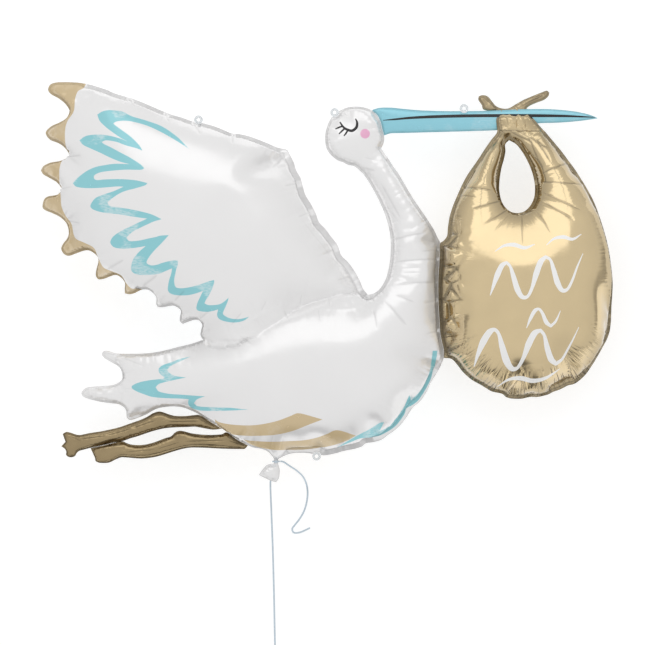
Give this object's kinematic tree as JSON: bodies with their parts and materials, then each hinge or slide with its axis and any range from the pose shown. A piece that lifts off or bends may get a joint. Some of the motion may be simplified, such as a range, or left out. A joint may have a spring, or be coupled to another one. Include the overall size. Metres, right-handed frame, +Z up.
{
  "type": "stork foil balloon",
  "caption": "Inflated foil balloon of a flying stork lying on its back, with feathered wing and tail, long bill and a knotted bundle hanging from it, and a curling ribbon at its filling neck.",
  "frame": {"origin": "on the floor, under the middle of the balloon without its ribbon, as it lies on its back", "axes": "+X from the wing's feathers towards the bundle, +Y from the legs towards the head, +Z up, out of the printed front"},
  "size_m": [1.57, 1.6095, 0.311],
  "materials": {
    "white_foil": "pearly satin metallised film",
    "gold_foil": "glossy champagne gold metallised film",
    "blue_foil": "satin light blue printed film",
    "bronze_foil": "glossy bronze metallised film",
    "clear_film": "clear film",
    "ribbon": "satin curling ribbon"
  },
  "bodies": {
    "root": {"stork_envelope": "white_foil", "bundle": "gold_foil", "beak": "blue_foil", "upper_leg": "bronze_foil", "lower_leg": "bronze_foil", "wing_tab": "clear_film", "head_tab": "clear_film", "belly_tab": "clear_film", "beak_tab": "clear_film", "ribbon_knot": "ribbon", "ribbon_long_end": "ribbon", "ribbon_short_end": "ribbon", "ribbon_end_knot": "ribbon"}
  },
  "joints": []
}
